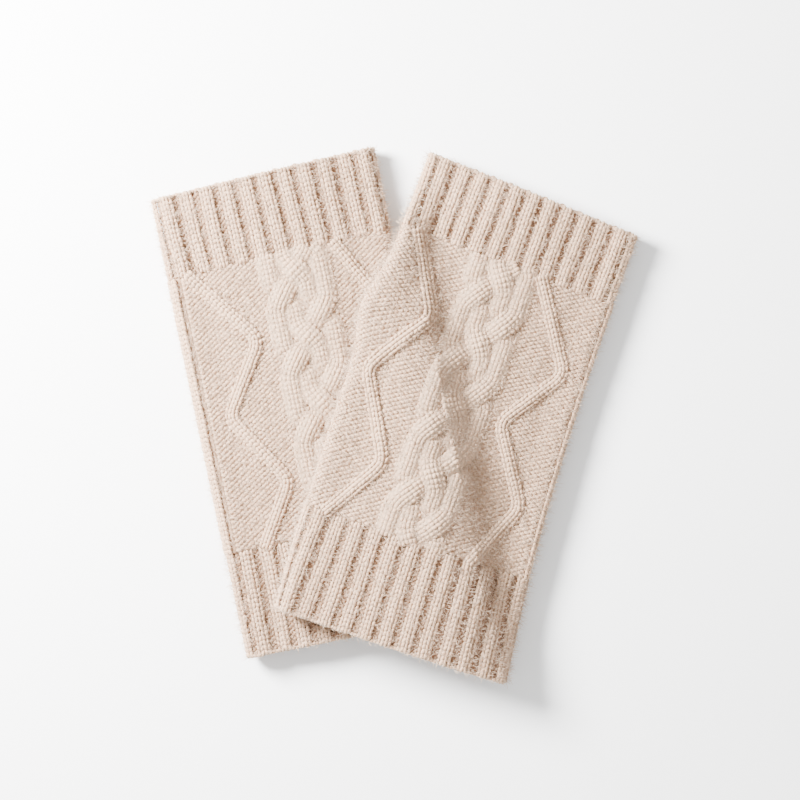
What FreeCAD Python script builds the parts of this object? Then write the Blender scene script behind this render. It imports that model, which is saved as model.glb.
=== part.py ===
import FreeCAD, Part
import os
from math import radians

import Sketcher
from FreeCAD import Vector

# A pair of knitted fingerless gloves, laid flat in a fan: the upper glove lies partly on the
# lower one and drapes down to the table beside it. Each glove is a flattened tube: a palm layer
# below, a back layer above, and a rounded fold along either side. +X is to the right, +Y points
# to the finger ends, +Z is up. The origin is the middle of the pair's box, on the table.

# ---------------------------------------------------------------- driving sizes, in mm and degrees

SIZES = [
    ("glove_length", 184.0),         # finger edge to wrist edge
    ("finger_width", 87.0),          # flat width at the finger edge
    ("lower_wrist_width", 88.0),     # flat width at the wrist edge
    ("upper_wrist_width", 95.0),     # the upper glove's wrist lies spread a little
    ("finger_cuff_length", 31.0),
    ("wrist_cuff_length", 41.0),
    ("fabric_thickness", 2.4),
    ("hand_gap", 5.4),               # height of the space inside the flattened tube
    ("rib_pitch", 7.7),              # one knit rib and one purl groove
    ("rib_width", 4.7),              # the knit rib alone, two wales
    ("groove_depth", 0.8),
    ("cable_rise", 1.7),             # braid above the back panel
    ("travel_rise", 1.0),            # travelling ribs above the back panel
    ("plait_pitch", 27.0),           # from one crossing to the next at the same place
    ("plait_swing", 10.6),           # how far a strand swings from the braid's centre line
    ("strand_width", 8.2),
    ("lower_plait_x", 5.2),          # the braid's centre line, from the glove's own middle
    ("upper_plait_x", -3.6),
    ("lower_outer_edge_gap", 1.6),       # from a zigzag rib's outer turns to the side fold
    ("lower_thumb_edge_gap", 0.6),
    ("upper_outer_edge_gap", 4.3),
    ("upper_thumb_edge_gap", 0.6),
    ("lower_outer_plait_gap", 1.8),      # from its inner turns to the braid
    ("lower_thumb_plait_gap", 1.0),
    ("upper_outer_plait_gap", 0.9),
    ("upper_thumb_plait_gap", 2.2),
    ("thumb_hole_length", 34.0),
    ("thumb_hole_width", 14.0),
    ("thumb_hole_drop", 64.0),       # finger edge to the middle of the thumb hole
    ("edging_width", 2.5),           # knitted edging round the thumb hole
    ("seam_width", 2.0),             # linking ridge inside the outer fold
    ("seam_depth", 1.8),
    ("layer_clearance", 0.3),        # between pieces that move apart
    ("lower_turn", 11.8),            # the lower glove leans left
    ("upper_turn", 18.4),            # the upper glove leans right
    ("lower_x", -34.0),              # middle of each glove, before the pair is centred
    ("lower_y", 5.2),
    ("upper_x", 25.8),
    ("upper_y", -0.3),
    ("drape_start", 3.0),            # where the upper glove starts to fall, across the lower's axis
    ("drape_run", 31.0),             # how far it takes to reach the table
    ("frame_x", 0.0),                # shift that puts the pair's box on the origin
    ("frame_y", 0.0),
]

doc = FreeCAD.newDocument("fingerless_gloves")
sheet = doc.addObject("Spreadsheet::Sheet", "sizes")
for row, (alias, value) in enumerate(SIZES, start=1):
    sheet.set("A%d" % row, alias)
    sheet.set("B%d" % row, str(value))
    sheet.setAlias("B%d" % row, alias)
doc.recompute()

# ---------------------------------------------------------------- sizes that follow from them

HALF_LENGTH = "sizes.glove_length / 2"
BODY_TOP = "(sizes.glove_length / 2 - sizes.finger_cuff_length)"
BODY_BOTTOM = "(sizes.wrist_cuff_length - sizes.glove_length / 2)"
BODY_LENGTH = "(sizes.glove_length - sizes.finger_cuff_length - sizes.wrist_cuff_length)"
TUBE = "(2 * sizes.fabric_thickness + sizes.hand_gap)"
FOLD_RADIUS = "(sizes.fabric_thickness + sizes.hand_gap / 2)"
BACK_UNDERSIDE = "(sizes.fabric_thickness + sizes.hand_gap)"
# the upper glove's underside clears the lower glove's cables
LIFT = "(%s + sizes.cable_rise + sizes.layer_clearance)" % TUBE
# the fall's steepest way lies across the lower glove; here in the upper glove's own axes
FALL_TURN = "((sizes.lower_turn + sizes.upper_turn) * 1 deg)"
FALL_START = ("(sizes.drape_start - sizes.upper_x * cos(sizes.lower_turn)"
              " - sizes.upper_y * sin(sizes.lower_turn))")
REACH = 300.0                        # longer than anything here, for lines that are trimmed later
HEADROOM = 60.0                      # taller than the pair
TRAVEL_STEPS = 16                    # straight stretches in a zigzag rib of two full swings
FIRST_CROSSING = 0.22                # from the finger cuff to the first crossing, in plait pitches
LOBE_WIDTH = "(sizes.strand_width * 0.8)"       # the part of a crossing strand that stands highest
LOBE_LENGTH = "(sizes.plait_pitch * 0.45)"
BRAID_REACH = "(sizes.plait_swing + sizes.strand_width / 2)"


class Glove:
    """Names, signs and sizes that differ between the two gloves."""

    def __init__(self, name, thumb_side):
        self.name = name
        self.thumb_side = thumb_side         # +1 when the thumb is on the right
        self.wrist_width = "sizes.%s_wrist_width" % name
        self.turn = "sizes.lower_turn" if name == "lower" else "-sizes.upper_turn"
        self.plait_centre = "sizes.%s_plait_x" % name


LOWER = Glove("lower", 1)
UPPER = Glove("upper", -1)


def number(expression):
    """The present value of an expression, for a sketch's first guess."""
    value = sheet.evalExpression(expression)
    return float(getattr(value, "Value", value))


def pin(sketch, geometry, point, across, up):
    """Hold one point of a sketch at two expressions, measured from the origin."""
    first = Sketcher.Constraint("DistanceX", -1, 1, geometry, point, number(across))
    sketch.setExpression("Constraints[%d]" % sketch.addConstraint(first), across)
    second = Sketcher.Constraint("DistanceY", -1, 1, geometry, point, number(up))
    sketch.setExpression("Constraints[%d]" % sketch.addConstraint(second), up)


def place_at(across, up):
    return Vector(number(across), number(up), 0)


def turned(obj, position, yaw, roll="0"):
    """Set an object's Placement by expressions: rolled about X, then turned about Z."""
    obj.setExpression("Placement", "create(<<placement>>; create(<<vector>>; %s; %s; %s); "
                      "create(<<rotation>>; %s; 0; %s))" % (*position, yaw, roll))


def loop_sketch(name, points):
    """A closed outline through points, each a pair of expressions."""
    sketch = doc.addObject("Sketcher::SketchObject", name)
    places = [place_at(*point) for point in points]
    for start, end in zip(places, places[1:] + places[:1]):
        sketch.addGeometry(Part.LineSegment(start, end), False)
    for index, point in enumerate(points):
        before = (index - 1) % len(points)
        sketch.addConstraint(Sketcher.Constraint("Coincident", before, 2, index, 1))
        pin(sketch, index, 1, *point)
    return sketch


def extrude(name, sketch, length, start="0"):
    """A solid between two heights along the sketch's normal."""
    solid = doc.addObject("Part::Extrusion", name)
    solid.Base = sketch
    solid.DirMode = "Normal"
    solid.Solid = True
    solid.setExpression("LengthFwd", length)
    solid.setExpression("LengthRev", "-(%s)" % start)
    return solid


def prism(name, points):
    """An upright prism, taller than the gloves, that trims a layer to an outline."""
    return extrude(name, loop_sketch(name + "_outline", points), str(HEADROOM), "-5")


def boolean(kind, name, base, tool):
    result = doc.addObject("Part::" + kind, name)
    result.Base = base
    result.Tool = tool
    return result


def joined(name, shapes):
    result = doc.addObject("Part::MultiFuse", name)
    result.Shapes = shapes
    return result



# ---------------------------------------------------------------- heights, flat or draped

class Fall:
    """The upper glove's fall to the table, along a line at some angle to its steepest way."""

    def __init__(self, start, slant):
        self.start = start
        self.run = "(sizes.drape_run / %s)" % slant
        self.slope = "(2 * atan(%s / %s))" % (LIFT, self.run)
        self.radius = "(%s / (2 * sin(%s)))" % (self.run, self.slope)

    def draw(self, sketch, offset):
        """Level, two tangent arcs, level again, at an offset above the tube's mid height."""
        high = "(%s + %s)" % (LIFT, FOLD_RADIUS)
        end = "(%s + %s)" % (self.start, self.run)
        brow = ("%s - %s" % (self.start, REACH), self.start)
        foot = (end, "%s + %s" % (end, REACH))
        middle = ("%s + %s / 2 + (%s) * sin(%s)" % (self.start, self.run, offset, self.slope),
                  "%s + %s / 2 + (%s) * cos(%s)" % (FOLD_RADIUS, LIFT, offset, self.slope))
        steep = number(self.slope)
        for level, (near, far) in ((high, brow), (FOLD_RADIUS, foot)):
            height = "%s + (%s)" % (level, offset)
            line = sketch.addGeometry(Part.LineSegment(place_at(near, height),
                                                       place_at(far, height)), False)
            pin(sketch, line, 1, near, height)
            pin(sketch, line, 2, far, height)
        for turn_end, centre, rim in (
                (90, (self.start, "%s - %s" % (high, self.radius)), self.start),
                (270, (end, "%s + %s" % (FOLD_RADIUS, self.radius)), end)):
            middle_point = place_at(*middle)
            centre_point = place_at(*centre)
            circle = Part.Circle(centre_point, Vector(0, 0, 1), (middle_point - centre_point).Length)
            arc = sketch.addGeometry(Part.ArcOfCircle(circle, radians(turn_end - steep),
                                                      radians(turn_end)), False)
            pin(sketch, arc, 3, *centre)
            pin(sketch, arc, 1, *middle)
            across = Sketcher.Constraint("DistanceX", -1, 1, arc, 2, number(rim))
            sketch.setExpression("Constraints[%d]" % sketch.addConstraint(across), rim)


def close_end(sketch, across, low, high):
    """The upright line that closes a draped layer's outline."""
    line = sketch.addGeometry(Part.LineSegment(place_at(across, low), place_at(across, high)), False)
    pin(sketch, line, 1, across, low)
    pin(sketch, line, 2, across, high)


def layer(glove, name, low, high):
    """A wide slab between two heights above the glove's underside, flat or draped."""
    name = "%s_%s_layer" % (glove.name, name)
    if glove is LOWER:
        corner = "-%s" % REACH
        outline = loop_sketch(name + "_outline", [(corner, corner), (str(REACH), corner),
                                                  (str(REACH), str(REACH)), (corner, str(REACH))])
        return extrude(name, outline, high, low)
    fall = Fall(FALL_START, "1")
    outline = doc.addObject("Sketcher::SketchObject", name + "_outline")
    low_offset = "%s - %s" % (low, FOLD_RADIUS)
    high_offset = "%s - %s" % (high, FOLD_RADIUS)
    fall.draw(outline, low_offset)
    fall.draw(outline, high_offset)
    close_end(outline, "%s - %s" % (fall.start, REACH), "%s + %s" % (LIFT, low),
              "%s + %s" % (LIFT, high))
    close_end(outline, "%s + %s + %s" % (fall.start, fall.run, REACH), low, high)
    turned(outline, ("0", "0", "0"), FALL_TURN, "90")
    return extrude(name, outline, str(REACH), "-%s" % REACH)


# ---------------------------------------------------------------- outlines across the glove

def half_width(glove, along):
    """Half the glove's width at a place along it; the sides taper evenly."""
    return "((sizes.finger_width + (%s - sizes.finger_width) * (%s - (%s)) / sizes.glove_length) / 2)" % (
        glove.wrist_width, HALF_LENGTH, along)


def region(glove, name, top, bottom, inset):
    """The prism between two places along the glove and the two side folds."""
    points = []
    for side, along in ((-1, bottom), (1, bottom), (1, top), (-1, top)):
        points.append(("%d * (%s - %s - %s)" % (side, half_width(glove, along), FOLD_RADIUS, inset), along))
    return prism("%s_%s_region" % (glove.name, name), points)


def rib_grooves(glove, name, top, bottom):
    """Upright prisms along the purl grooves between the knit ribs of a cuff."""
    grooves = []
    count = int(number("(%s - %s) / sizes.rib_pitch" % (half_width(glove, "0"), FOLD_RADIUS)))
    for step in range(-count, count + 1):
        middle = "%s * sizes.rib_pitch" % step
        half = "(sizes.rib_pitch - sizes.rib_width) / 2"
        left = "%s - %s" % (middle, half)
        right = "%s + %s" % (middle, half)
        grooves.append(prism("%s_%s_groove_%d" % (glove.name, name, step + count + 1),
                             [(left, bottom), (right, bottom), (right, top), (left, top)]))
    return joined("%s_%s_grooves" % (glove.name, name), grooves)


def cuff(glove, name, top, bottom, low, high, groove_low, groove_high, inset):
    """Half a ribbed cuff: a layer trimmed to its outline, with sunk purl grooves."""
    plain = boolean("Common", "%s_%s_plain" % (glove.name, name), layer(glove, name, low, high),
                    region(glove, name, top, bottom, inset))
    sunk = boolean("Common", "%s_%s_sunk" % (glove.name, name),
                   layer(glove, name + "_groove", groove_low, groove_high),
                   rib_grooves(glove, name, top, bottom))
    return boolean("Cut", "%s_%s" % (glove.name, name), plain, sunk)


def travelling_rib(glove, side):
    """A knit rib, two wales wide, that zigzags down the back panel in two full swings."""
    name = "%s_travelling_rib" % side
    sign = glove.thumb_side if side == "thumb" else -glove.thumb_side
    outer = "(%s - %s - sizes.%s_%s_edge_gap)" % (half_width(glove, BODY_TOP), FOLD_RADIUS,
                                                  glove.name, side)
    inner = "(%d * %s + %s + sizes.%s_%s_plait_gap)" % (sign, glove.plait_centre, BRAID_REACH,
                                                        glove.name, side)
    centre = "(%d * (%s + %s) / 2)" % (sign, outer, inner)
    swing = "((%s - %s - sizes.rib_width) / 2)" % (outer, inner)
    left = []
    right = []
    wave = "(720 / %s)" % BODY_LENGTH
    for step in range(TRAVEL_STEPS + 1):
        down = "(%s * %d / %d)" % (BODY_LENGTH, step, TRAVEL_STEPS)
        middle = "%s - %s * cos(%s * %s)" % (centre, swing, wave, down)
        slant = "(%s * 4 * pi / %s * sin(%s * %s))" % (swing, BODY_LENGTH, wave, down)
        half = "sizes.rib_width / 2 * sqrt(1 + %s ^ 2)" % slant
        along = "%s - %s" % (BODY_TOP, down)
        left.append(("%s - %s" % (middle, half), along))
        right.append(("%s + %s" % (middle, half), along))
    outline = prism("%s_%s_path" % (glove.name, name), left + right[::-1])
    return boolean("Common", "%s_%s" % (glove.name, name), outline,
                   layer(glove, name, TUBE, "(%s + sizes.travel_rise)" % TUBE))


def long_loop(glove, name, across, along, length, width, lean="0"):
    """An upright prism with straight sides and round ends, along the glove or leaning from it."""
    sketch = doc.addObject("Sketcher::SketchObject", "%s_%s_outline" % (glove.name, name))
    radius = "(%s / 2)" % width
    reach = "((%s - %s) / 2)" % (length, width)
    for side, start_angle in ((1, 0), (-1, 180)):
        centre = ("0", "%d * %s" % (side, reach))
        rim = "%d * %s" % (side, radius)
        circle = Part.Circle(place_at(*centre), Vector(0, 0, 1), number(radius))
        arc = sketch.addGeometry(Part.ArcOfCircle(circle, radians(start_angle),
                                                  radians(start_angle + 180)), False)
        pin(sketch, arc, 3, *centre)
        pin(sketch, arc, 1, rim, centre[1])
        level = Sketcher.Constraint("DistanceY", -1, 1, arc, 2, number(centre[1]))
        sketch.setExpression("Constraints[%d]" % sketch.addConstraint(level), centre[1])
        line = sketch.addGeometry(Part.LineSegment(place_at(rim, "-" + reach),
                                                   place_at(rim, reach)), False)
        pin(sketch, line, 1, rim, "-" + reach)
        pin(sketch, line, 2, rim, reach)
    turned(sketch, (across, along, "0"), lean)
    return extrude("%s_%s" % (glove.name, name), sketch, str(HEADROOM), "-5")


def braid(glove):
    """The plait: a low strip with the crossings of its four strands standing on it."""
    strip = prism("%s_braid_strip" % glove.name,
                  [("%s - %s" % (glove.plait_centre, BRAID_REACH), BODY_BOTTOM),
                   ("%s + %s" % (glove.plait_centre, BRAID_REACH), BODY_BOTTOM),
                   ("%s + %s" % (glove.plait_centre, BRAID_REACH), BODY_TOP),
                   ("%s - %s" % (glove.plait_centre, BRAID_REACH), BODY_TOP)])
    # a strand moves over by a third of the braid in a third of the pitch
    lean = "atan(2 * sizes.plait_swing / sizes.plait_pitch)"
    lobes = []
    # crossings come in turn at the middle, the left and the right; only the middle one leans left
    count = int(number("%s / sizes.plait_pitch" % BODY_LENGTH) * 3 - FIRST_CROSSING * 3) + 1
    for step in range(count):
        place, way = ((0, 1), (-1, -1), (1, -1))[step % 3]
        across = "%s + %d * sizes.plait_swing * 2 / 3" % (glove.plait_centre, place)
        along = "%s - sizes.plait_pitch * (%s + %d / 3)" % (BODY_TOP, FIRST_CROSSING, step)
        lobes.append(long_loop(glove, "braid_lobe_%d" % (step + 1), across, along, LOBE_LENGTH,
                               LOBE_WIDTH, "%d * %s" % (way, lean)))
    ground = boolean("Common", "%s_braid_ground" % glove.name, strip,
                     layer(glove, "braid_ground", TUBE, "(%s + sizes.cable_rise / 2)" % TUBE))
    crossings = boolean("Common", "%s_braid_crossings" % glove.name,
                        joined("%s_braid_lobes" % glove.name, lobes),
                        layer(glove, "braid_crossing", TUBE, "(%s + sizes.cable_rise)" % TUBE))
    inside = boolean("Common", "%s_braid_inside" % glove.name, crossings,
                     region(glove, "braid_limit", BODY_TOP, BODY_BOTTOM, "0"))
    return joined("%s_cable_braid" % glove.name, [ground, inside])


# ---------------------------------------------------------------- folds, seam and thumb hole

def fold_path(glove, side):
    """Line of the fold's middle, and where a section across it stands."""
    taper = "atan((sizes.finger_width - %s) / 2 / sizes.glove_length)" % glove.wrist_width
    across = "(%d * (%s - %s))" % (side, half_width(glove, "0"), FOLD_RADIUS)
    yaw = "(90 deg - %d * %s)" % (side, taper)
    path = doc.addObject("Sketcher::SketchObject", "%s_fold_path_%d" % (glove.name, side))
    if glove is LOWER:
        line = path.addGeometry(Part.LineSegment(place_at("-%s" % REACH, FOLD_RADIUS),
                                                 place_at(str(REACH), FOLD_RADIUS)), False)
        pin(path, line, 1, "-%s" % REACH, FOLD_RADIUS)
        pin(path, line, 2, str(REACH), FOLD_RADIUS)
        begin = "(-%s)" % REACH
        height = FOLD_RADIUS
    else:
        slant = "cos(%s - %s)" % (yaw, FALL_TURN)
        start = "((%s - %s * cos(%s)) / %s)" % (FALL_START, across, FALL_TURN, slant)
        Fall(start, slant).draw(path, "0")
        begin = "(%s - %s)" % (start, REACH)
        height = "(%s + %s)" % (LIFT, FOLD_RADIUS)
    turned(path, (across, "0", "0"), yaw, "90")
    foot = ("%s + %s * cos(%s)" % (across, begin, yaw), "%s * sin(%s)" % (begin, yaw), height)
    return path, foot, "(%s - %d * 90 deg)" % (yaw, side)


def swept(name, path, section):
    sweep = doc.addObject("Part::Sweep", name)
    sweep.Sections = [section]
    sweep.Spine = (path, [])
    sweep.Solid = True
    sweep.Frenet = False
    return sweep


def half_ring(name):
    """Section of a side fold: half a ring, bulging to +X."""
    sketch = doc.addObject("Sketcher::SketchObject", name)
    inner = "sizes.hand_gap / 2"
    for radius in (FOLD_RADIUS, inner):
        circle = Part.Circle(Vector(0, 0, 0), Vector(0, 0, 1), number(radius))
        arc = sketch.addGeometry(Part.ArcOfCircle(circle, radians(-90), radians(90)), False)
        sketch.addConstraint(Sketcher.Constraint("Coincident", arc, 3, -1, 1))
        pin(sketch, arc, 1, "0", "-%s" % radius)
        up = Sketcher.Constraint("PointOnObject", arc, 2, -2)
        sketch.addConstraint(up)
    for side in (-1, 1):
        low = "%d * %s" % (side, inner)
        high = "%d * %s" % (side, FOLD_RADIUS)
        line = sketch.addGeometry(Part.LineSegment(place_at("0", low), place_at("0", high)), False)
        pin(sketch, line, 1, "0", low)
        pin(sketch, line, 2, "0", high)
    return sketch


def rectangle(name, left, right, low, high):
    return loop_sketch(name, [(left, low), (right, low), (right, high), (left, high)])


# ---------------------------------------------------------------- the pieces of one glove

def folds(glove):
    """The two side folds, and the seam's linking ridge let into the outer one."""
    trim = prism("%s_fold_trim" % glove.name,
                 [("-%s" % REACH, "-%s" % HALF_LENGTH), (str(REACH), "-%s" % HALF_LENGTH),
                  (str(REACH), HALF_LENGTH), ("-%s" % REACH, HALF_LENGTH)])
    made = {}
    for side, name in ((glove.thumb_side, "thumb_side_fold"), (-glove.thumb_side, "outer_side_fold")):
        path, foot, yaw = fold_path(glove, side)
        section = half_ring("%s_%s_section" % (glove.name, name))
        turned(section, foot, yaw, "90")
        whole = swept("%s_%s_whole" % (glove.name, name), path, section)
        if name == "outer_side_fold":
            left = "(sizes.hand_gap / 2 + sizes.fabric_thickness / 2 - sizes.seam_depth)"
            half = "(sizes.seam_width / 2)"
            ridge = rectangle("%s_seam_section" % glove.name, left, left + " + sizes.seam_depth",
                              "-" + half, half)
            turned(ridge, foot, yaw, "90")
            seam = swept("%s_seam_whole" % glove.name, path, ridge)
            made["side_seam"] = boolean("Common", "%s_side_seam" % glove.name, seam, trim)
            whole = boolean("Cut", "%s_%s_slit" % (glove.name, name), whole, seam)
        made[name] = boolean("Common", "%s_%s" % (glove.name, name), whole, trim)
    return made


def palm(glove):
    """The layer that lies underneath: two half cuffs and a panel with the thumb hole."""
    half = HALF_LENGTH
    made = {}
    made["palm_finger_cuff"] = cuff(glove, "palm_finger_cuff", half, BODY_TOP,
                                    "0", "sizes.fabric_thickness", "-1", "sizes.groove_depth", "0")
    made["palm_wrist_cuff"] = cuff(glove, "palm_wrist_cuff", BODY_BOTTOM, "-" + half,
                                   "0", "sizes.fabric_thickness", "-1", "sizes.groove_depth", "0")
    along = "(%s - sizes.thumb_hole_drop)" % HALF_LENGTH
    hole_width = "(sizes.thumb_hole_width + 2 * sizes.edging_width)"
    across = "(%d * (%s - %s - %s / 2 - 1))" % (glove.thumb_side, half_width(glove, along),
                                                FOLD_RADIUS, hole_width)
    opening = long_loop(glove, "thumb_opening", across, along,
                        "sizes.thumb_hole_length", "sizes.thumb_hole_width")
    rim = long_loop(glove, "thumb_edging", across, along,
                    "(sizes.thumb_hole_length + 2 * sizes.edging_width)", hole_width)
    palm_layer = layer(glove, "palm_panel", "0", "sizes.fabric_thickness")
    whole = boolean("Common", "%s_palm_whole" % glove.name, palm_layer,
                    region(glove, "palm_panel", BODY_TOP, BODY_BOTTOM, "0"))
    made["palm_panel"] = boolean("Cut", "%s_palm_panel" % glove.name, whole, rim)
    ring = boolean("Cut", "%s_edging_ring" % glove.name, rim, opening)
    made["thumb_hole_edging"] = boolean(
        "Common", "%s_thumb_hole_edging" % glove.name, ring,
        layer(glove, "edging", "0", "(sizes.fabric_thickness + 0.4)"))
    return made


def back(glove):
    """The layer on top: two half cuffs, the sunk panel, the braid and the travelling ribs."""
    half = HALF_LENGTH
    gap = "sizes.layer_clearance"
    made = {}
    groove_floor = "(%s - sizes.groove_depth)" % TUBE
    groove_sky = "(%s + 1)" % TUBE
    made["back_finger_cuff"] = cuff(glove, "back_finger_cuff", half, BODY_TOP,
                                    BACK_UNDERSIDE, TUBE, groove_floor, groove_sky, gap)
    made["back_wrist_cuff"] = cuff(glove, "back_wrist_cuff", BODY_BOTTOM, "-" + half,
                                   BACK_UNDERSIDE, TUBE, groove_floor, groove_sky, gap)
    made["back_panel"] = boolean("Common", "%s_back_panel" % glove.name,
                                 layer(glove, "back_panel", BACK_UNDERSIDE, TUBE),
                                 region(glove, "back_panel", BODY_TOP, BODY_BOTTOM, gap))
    made["cable_braid"] = braid(glove)
    made["thumb_side_travelling_rib"] = travelling_rib(glove, "thumb")
    made["outer_travelling_rib"] = travelling_rib(glove, "outer")
    return made


nodes = {}
for glove in (LOWER, UPPER):
    pieces = {}
    pieces.update(folds(glove))
    pieces.update(palm(glove))
    pieces.update(back(glove))
    for name, piece in pieces.items():
        label = "%s_%s" % (glove.name, name)
        piece.Label = label
        turned(piece, ("sizes.%s_x + sizes.frame_x" % glove.name,
                       "sizes.%s_y + sizes.frame_y" % glove.name, "0"), glove.turn)
        nodes[label] = piece
doc.recompute()

# ---------------------------------------------------------------- centre the pair, check, write

box = FreeCAD.BoundBox()
for piece in nodes.values():
    box.add(piece.Shape.optimalBoundingBox())
sheet.set("B%d" % (len(SIZES) - 1), "%.3f" % -box.Center.x)
sheet.set("B%d" % len(SIZES), "%.3f" % -box.Center.y)
doc.recompute()

for item in doc.Objects:
    if "Invalid" in item.State or "Error" in item.State:
        raise RuntimeError("%s failed: %s" % (item.Label, item.getStatusString()))
for label, piece in nodes.items():
    if piece.Shape.isNull() or not piece.Shape.isValid():
        raise RuntimeError("%s has no valid shape" % label)

os.makedirs("parts", exist_ok=True)
for label, piece in sorted(nodes.items()):
    piece.Shape.exportStep("parts/%s.step" % label)
    print("%-34s %d solid(s) %9.1f mm3" % (label, len(piece.Shape.Solids), piece.Shape.Volume))
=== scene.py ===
import math

import bpy
import numpy as np
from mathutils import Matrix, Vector


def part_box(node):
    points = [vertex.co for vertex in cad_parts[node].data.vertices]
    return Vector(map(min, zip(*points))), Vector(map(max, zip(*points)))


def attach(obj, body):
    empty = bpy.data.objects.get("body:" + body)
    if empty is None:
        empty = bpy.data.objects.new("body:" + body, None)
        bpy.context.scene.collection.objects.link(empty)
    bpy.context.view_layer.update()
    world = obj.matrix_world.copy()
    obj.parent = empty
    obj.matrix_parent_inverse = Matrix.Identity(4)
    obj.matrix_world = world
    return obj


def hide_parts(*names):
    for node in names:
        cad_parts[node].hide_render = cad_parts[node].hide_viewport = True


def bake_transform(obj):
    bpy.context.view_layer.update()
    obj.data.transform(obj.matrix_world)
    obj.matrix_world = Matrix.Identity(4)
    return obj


# A pair of cable-knit fingerless gloves, knitted stitch by stitch. Each glove is a flattened
# tube; a place on it is given as (across, along), in mm: across runs round the tube from the
# middle of the back, positive to the right, and along runs from the wrist to the finger edge.

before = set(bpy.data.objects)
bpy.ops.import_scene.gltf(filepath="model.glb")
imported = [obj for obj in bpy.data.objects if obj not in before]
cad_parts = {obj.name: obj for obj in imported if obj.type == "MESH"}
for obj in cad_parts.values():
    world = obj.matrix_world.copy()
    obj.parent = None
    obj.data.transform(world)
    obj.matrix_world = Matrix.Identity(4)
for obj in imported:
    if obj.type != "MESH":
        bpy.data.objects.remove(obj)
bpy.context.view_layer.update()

MM = 0.001
RANDOM = np.random.default_rng(7)

# ---------------------------------------------------------------- sizes of the knitting, in mm

GLOVE_LENGTH = 184.0
FINGER_WIDTH = {"lower": 89.0, "upper": 88.0}
WRIST_WIDTH = {"lower": 88.0, "upper": 94.5}
FINGER_CUFF = {"lower": 32.5, "upper": 29.5}
WRIST_CUFF = {"lower": 41.3, "upper": 41.0}
CAD_FINGER_CUFF = 31.0                         # the solid cuffs' lengths, to find a glove's middle by
CAD_WRIST_CUFF = 41.0
SKEW = {"lower": (0.03, 0.0), "upper": (-0.062, 0.0)}      # slopes of the finger and the wrist edge
FOLD_RADIUS = 5.1                              # outside of the fold along either side
WRAP = math.pi * FOLD_RADIUS                   # round a fold, from the back's flat to the palm's
CROWN = 0.9                                    # the back swells a little towards its middle
HOLLOW_FROM_FOLD = 8.0                         # and sinks a little beside each fold
HOLLOW_DEPTH = 0.9
HOLLOW_SPREAD = 5.0
PLAIT_LINE = {"lower": 4.9, "upper": -0.9}
BRAID_HALF = 14.5
PLAIT_SWELL = 0.8                              # and stands up under the plait
RIPPLE = 0.35                                  # slow waves in the cloth
PALM_RISE = 0.35                               # keeps the palm's stitches off the table
COURSE = 1.86                                  # one row of stitches
LEG = 1.3                                      # one leg of a knit stitch in the ribs
PURL_WALE = 2.9
BULGE = 4.0                                    # the upper glove's thumb side flops out here
BULGE_ALONG = 30.0
BULGE_SPREAD = 14.0
FALL_START = 3.0                               # the upper glove's fall to the table
FALL_RUN = 31.0

HALF = GLOVE_LENGTH / 2


def body_top(glove):
    return HALF - FINGER_CUFF[glove]


def body_bottom(glove):
    return WRIST_CUFF[glove] - HALF


# ---------------------------------------------------------------- where each glove lies

def middle(node):
    low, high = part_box(node)
    return np.array([(low[i] + high[i]) / 2 for i in range(3)]) / MM


def lie(glove):
    """Middle of a glove and its direction, from where its two cuffs are."""
    finger = middle(glove + "_back_finger_cuff")[:2]
    wrist = middle(glove + "_back_wrist_cuff")[:2]
    up = (finger - wrist) / np.linalg.norm(finger - wrist)
    centre = (finger + wrist) / 2 - up * (CAD_WRIST_CUFF - CAD_FINGER_CUFF) / 4
    return centre, up


LIE = {glove: lie(glove) for glove in ("lower", "upper")}
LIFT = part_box("upper_back_wrist_cuff")[1][2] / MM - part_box("lower_back_wrist_cuff")[1][2] / MM
FALL_WAY = np.array([LIE["lower"][1][1], -LIE["lower"][1][0]])     # across the lower glove
FALL_RADIUS = FALL_RUN / (2 * math.sin(2 * math.atan(LIFT / FALL_RUN)))


def fall(distance):
    """Height and slope of the upper glove's fall, at a distance past its start."""
    d = np.clip(distance, 0, FALL_RUN)
    first = np.minimum(d, FALL_RUN / 2)
    second = np.minimum(FALL_RUN - d, FALL_RUN / 2)
    brow = LIFT - FALL_RADIUS + np.sqrt(FALL_RADIUS ** 2 - first ** 2)
    foot = FALL_RADIUS - np.sqrt(FALL_RADIUS ** 2 - second ** 2)
    height = np.where(d < FALL_RUN / 2, brow, foot)
    slope = np.arcsin(np.minimum(first, second) / FALL_RADIUS)
    return height, slope


def flat_half(glove, along):
    """Half the width of the flat of the back: from the middle to where the fold begins."""
    share = np.clip((HALF - along) / GLOVE_LENGTH, 0, 1)
    width = FINGER_WIDTH[glove] + (WRIST_WIDTH[glove] - FINGER_WIDTH[glove]) * share ** 1.5
    return width / 2 - FOLD_RADIUS


def bend(glove, along):
    """How far a glove's middle line lies to one side of straight."""
    share = np.clip((HALF - along) / GLOVE_LENGTH, 0, 1)
    if glove == "lower":
        return 0.4 - 0.5 * share
    return -1.2 - 2.0 * np.sin(math.pi * share) + 3.0 * share ** 3


def slope_across(glove, along):
    """How much the rows of stitches slope, at a place along."""
    finger_slope, wrist_slope = SKEW[glove]
    return wrist_slope + (finger_slope - wrist_slope) * (along + HALF) / GLOVE_LENGTH


def on_glove(glove, sideways, drop):
    """The knitting's own place for one given sideways and down from the finger edge, as it lies."""
    along = HALF - drop
    own = sideways - bend(glove, along)
    return own, along - own * slope_across(glove, along)


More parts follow.
